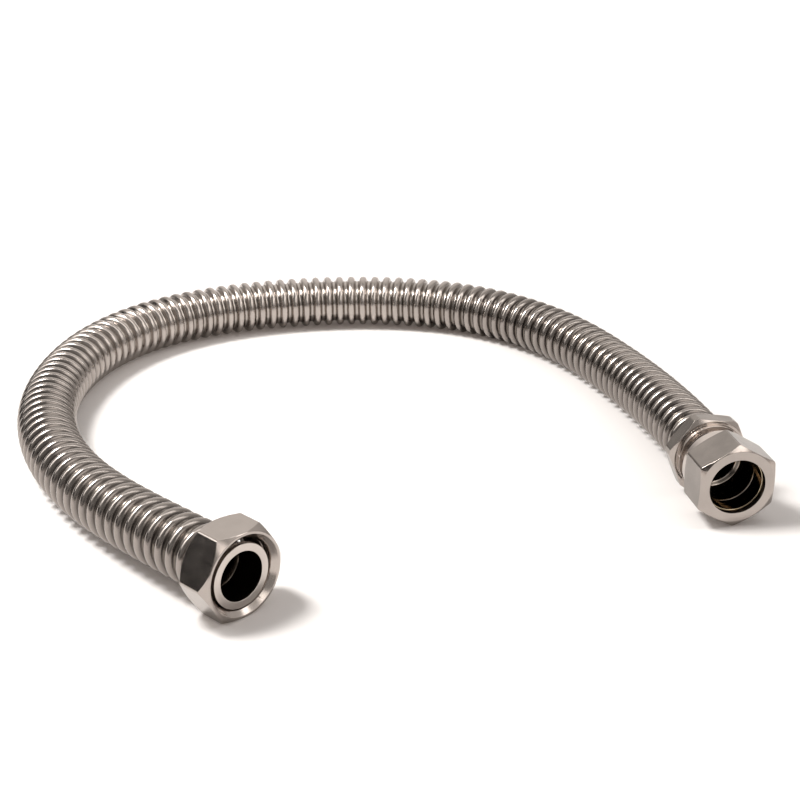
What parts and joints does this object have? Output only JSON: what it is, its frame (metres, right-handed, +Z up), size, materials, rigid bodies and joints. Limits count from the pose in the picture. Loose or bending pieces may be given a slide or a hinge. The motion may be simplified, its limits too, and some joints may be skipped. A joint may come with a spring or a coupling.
{
  "type": "flexible connector hose",
  "caption": "Corrugated stainless steel water connector hose in a horseshoe, with a flat-faced swivel nut at one end and a compression nut for a copper tube at the other.",
  "frame": {"origin": "middle of the outer box, on the surface that the hose lies on", "axes": "+Z up from the surface; the horseshoe opens towards -Y, with the swivel nut at -X and the compression nut at +X"},
  "size_m": [0.3086, 0.314, 0.0342],
  "materials": {
    "tube_steel": "bright annealed stainless steel, smooth rolled corrugations",
    "nut_steel": "satin flats and finely turned faces and chamfers",
    "olive_brass": "plain turned brass"
  },
  "bodies": {
    "root": {"corrugated_hose": "tube_steel", "flange_tail": "tube_steel", "adapter_body": "nut_steel"},
    "swivel_end": {"swivel_nut": "nut_steel"},
    "olive_ring": {"olive": "olive_brass"},
    "screw_nut": {"compression_nut": "nut_steel"}
  },
  "joints": [
    {"name": "swivel_turn", "type": "hinge", "parent": "root", "child": "swivel_end", "pos_m": [-0.04208, -0.14437, 0.01625], "axis": [0.7193, -0.6947, 0], "continuous": true},
    {"name": "olive_travel", "type": "slide", "parent": "root", "child": "olive_ring", "axis": [0.1874, -0.9823, 0], "range_m": [0, 0.00817]},
    {"name": "nut_unscrew", "type": "hinge", "parent": "olive_ring", "child": "screw_nut", "pos_m": [0.1397, -0.0798, 0.01711], "axis": [0.1874, -0.9823, 0], "range_deg": [0, 1620]}
  ],
  "couplings": [
    {"joint": "olive_travel", "follows": "nut_unscrew", "m_per_rad": 0.00028871}
  ]
}
